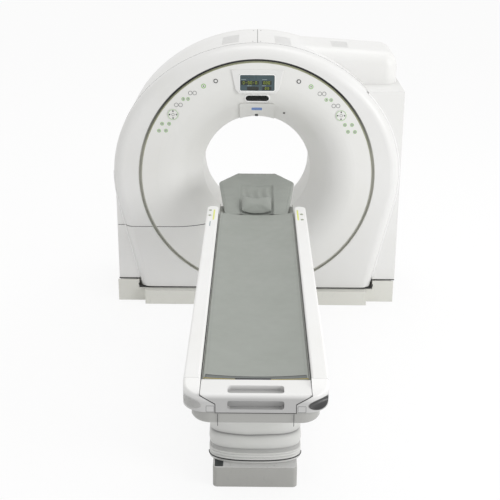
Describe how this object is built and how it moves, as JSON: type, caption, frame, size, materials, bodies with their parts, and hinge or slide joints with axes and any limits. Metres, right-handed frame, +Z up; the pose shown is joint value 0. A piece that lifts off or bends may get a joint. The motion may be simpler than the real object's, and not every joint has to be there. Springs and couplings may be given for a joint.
{
  "type": "ct scanner",
  "caption": "Whole-body X-ray CT scanner: a ring gantry that tilts on side columns round a spinning rotor, and a table that lifts and slides its patient cradle through the bore.",
  "frame": {"origin": "on the floor straight under the isocentre, at the centre of the gantry base's four anchor holes", "axes": "+Y along the scanner's axis, from the table's foot into the gantry; +X to the right seen from the foot; +Z up"},
  "size_m": [1.968, 3.832, 1.816],
  "materials": {
    "cover_white": "satin",
    "housing_white": "satin",
    "face_white": "satin",
    "groove_dark": "matt",
    "bore_liner": "satin",
    "plinth_grey": "matt",
    "bezel_grey": "satin",
    "screen_glass": "gloss",
    "window_dark": "gloss",
    "key_dark": "matt",
    "key_grey": "satin",
    "frame_steel": "satin",
    "cast_frame": "cast",
    "machined_steel": "machined",
    "tube_housing": "satin",
    "module_metal": "satin",
    "copper_ring": "machined",
    "belt_rubber": "matt",
    "motor_metal": "cast",
    "rail_white": "satin",
    "shell_grey": "satin",
    "cradle_carbon": "satin",
    "grip_grey": "satin",
    "pad_vinyl": "matt",
    "holder_grey": "matt",
    "bellows_grey": "matt",
    "duct_grey": "satin"
  },
  "bodies": {
    "base": {"base_frame": "frame_steel", "bellows": "bellows_grey", "floor_cable_duct": "duct_grey", "lift_motor": "motor_metal", "lift_outer_case": "frame_steel", "plinth_cover": "plinth_grey", "table_base_cover": "plinth_grey", "table_base_frame": "frame_steel", "tilt_column_left": "frame_steel", "tilt_column_right": "frame_steel", "tilt_gearmotor": "motor_metal"},
    "gantry": {"front_cover": "cover_white", "service_cover": "cover_white", "groove_ring": "groove_dark", "face_cover": "face_white", "bore_liner": "bore_liner", "display_bezel": "bezel_grey", "display_screen": "screen_glass", "sensor_window": "window_dark", "bore_pod": "bezel_grey", "side_cover_left": "housing_white", "top_cover_left": "housing_white", "top_cover_right": "housing_white", "rear_cover": "housing_white", "rear_face": "face_white", "belly_pan": "housing_white", "tilt_frame": "cast_frame", "bearing_outer_ring": "machined_steel", "brush_block": "module_metal", "drive_belt": "belt_rubber", "drive_motor": "motor_metal"},
    "rotor": {"rotor_drum": "cast_frame", "xray_tube": "tube_housing", "collimator": "module_metal", "hv_generator": "module_metal", "tube_cooler": "module_metal", "data_unit": "module_metal", "detector_arc": "module_metal", "slip_ring": "copper_ring"},
    "pulley": {"motor_pulley": "machined_steel"},
    "table_top": {"table_shell": "shell_grey", "foot_cover": "rail_white", "rail_left": "rail_white", "rail_right": "rail_white", "cradle_motor": "motor_metal", "lift_inner_case": "frame_steel"},
    "lift_middle": {"lift_middle_case": "frame_steel"},
    "cradle": {"cradle": "cradle_carbon", "foot_grip": "grip_grey", "mattress": "pad_vinyl", "head_board": "holder_grey", "head_pillow": "holder_grey"},
    "start_key_left": {"start_key_left": "key_dark"},
    "start_key_right": {"start_key_right": "key_dark"},
    "pad_key_left": {"pad_key_left": "key_grey"},
    "pad_key_right": {"pad_key_right": "key_grey"},
    "table_key_left_1": {"table_key_left_1": "key_dark"},
    "table_key_left_2": {"table_key_left_2": "key_dark"},
    "table_key_right_1": {"table_key_right_1": "key_dark"},
    "table_key_right_2": {"table_key_right_2": "key_dark"}
  },
  "joints": [
    {"name": "gantry_tilt", "type": "hinge", "parent": "base", "child": "gantry", "pos_m": [0, 0, 0.927], "axis": [-1, 0, 0], "range_deg": [-20, 20]},
    {"name": "rotor_spin", "type": "hinge", "parent": "gantry", "child": "rotor", "pos_m": [0, 0, 0.927], "axis": [0, 1, 0], "continuous": true},
    {"name": "pulley_spin", "type": "hinge", "parent": "gantry", "child": "pulley", "pos_m": [0.602, 0, 0.325], "axis": [0, 1, 0], "continuous": true},
    {"name": "table_lift", "type": "slide", "parent": "base", "child": "table_top", "axis": [0, 0, 1], "range_m": [-0.38, 0], "deforming": ["bellows"]},
    {"name": "lift_stage", "type": "slide", "parent": "base", "child": "lift_middle", "axis": [0, 0, 1], "range_m": [-0.19, 0]},
    {"name": "cradle_slide", "type": "slide", "parent": "table_top", "child": "cradle", "axis": [0, 1, 0], "range_m": [0, 1.6]},
    {"name": "start_key_left_press", "type": "slide", "parent": "gantry", "child": "start_key_left", "axis": [0, 1, 0], "range_m": [0, 0.0015], "stiffness_N_per_m": 1000, "springref_m": -0.002},
    {"name": "pad_key_left_press", "type": "slide", "parent": "gantry", "child": "pad_key_left", "axis": [0, 1, 0], "range_m": [0, 0.0015], "stiffness_N_per_m": 1000, "springref_m": -0.002},
    {"name": "table_key_left_1_press", "type": "slide", "parent": "table_top", "child": "table_key_left_1", "axis": [0, 0, -1], "range_m": [0, 0.0015], "stiffness_N_per_m": 1000, "springref_m": -0.002},
    {"name": "table_key_left_2_press", "type": "slide", "parent": "table_top", "child": "table_key_left_2", "axis": [0, 0, -1], "range_m": [0, 0.0015], "stiffness_N_per_m": 1000, "springref_m": -0.002},
    {"name": "start_key_right_press", "type": "slide", "parent": "gantry", "child": "start_key_right", "axis": [0, 1, 0], "range_m": [0, 0.0015], "stiffness_N_per_m": 1000, "springref_m": -0.002},
    {"name": "pad_key_right_press", "type": "slide", "parent": "gantry", "child": "pad_key_right", "axis": [0, 1, 0], "range_m": [0, 0.0015], "stiffness_N_per_m": 1000, "springref_m": -0.002},
    {"name": "table_key_right_1_press", "type": "slide", "parent": "table_top", "child": "table_key_right_1", "axis": [0, 0, -1], "range_m": [0, 0.0015], "stiffness_N_per_m": 1000, "springref_m": -0.002},
    {"name": "table_key_right_2_press", "type": "slide", "parent": "table_top", "child": "table_key_right_2", "axis": [0, 0, -1], "range_m": [0, 0.0015], "stiffness_N_per_m": 1000, "springref_m": -0.002}
  ],
  "couplings": [
    {"joint": "pulley_spin", "follows": "rotor_spin", "ratio": 12.583},
    {"joint": "lift_stage", "follows": "table_lift", "ratio": 0.5}
  ]
}
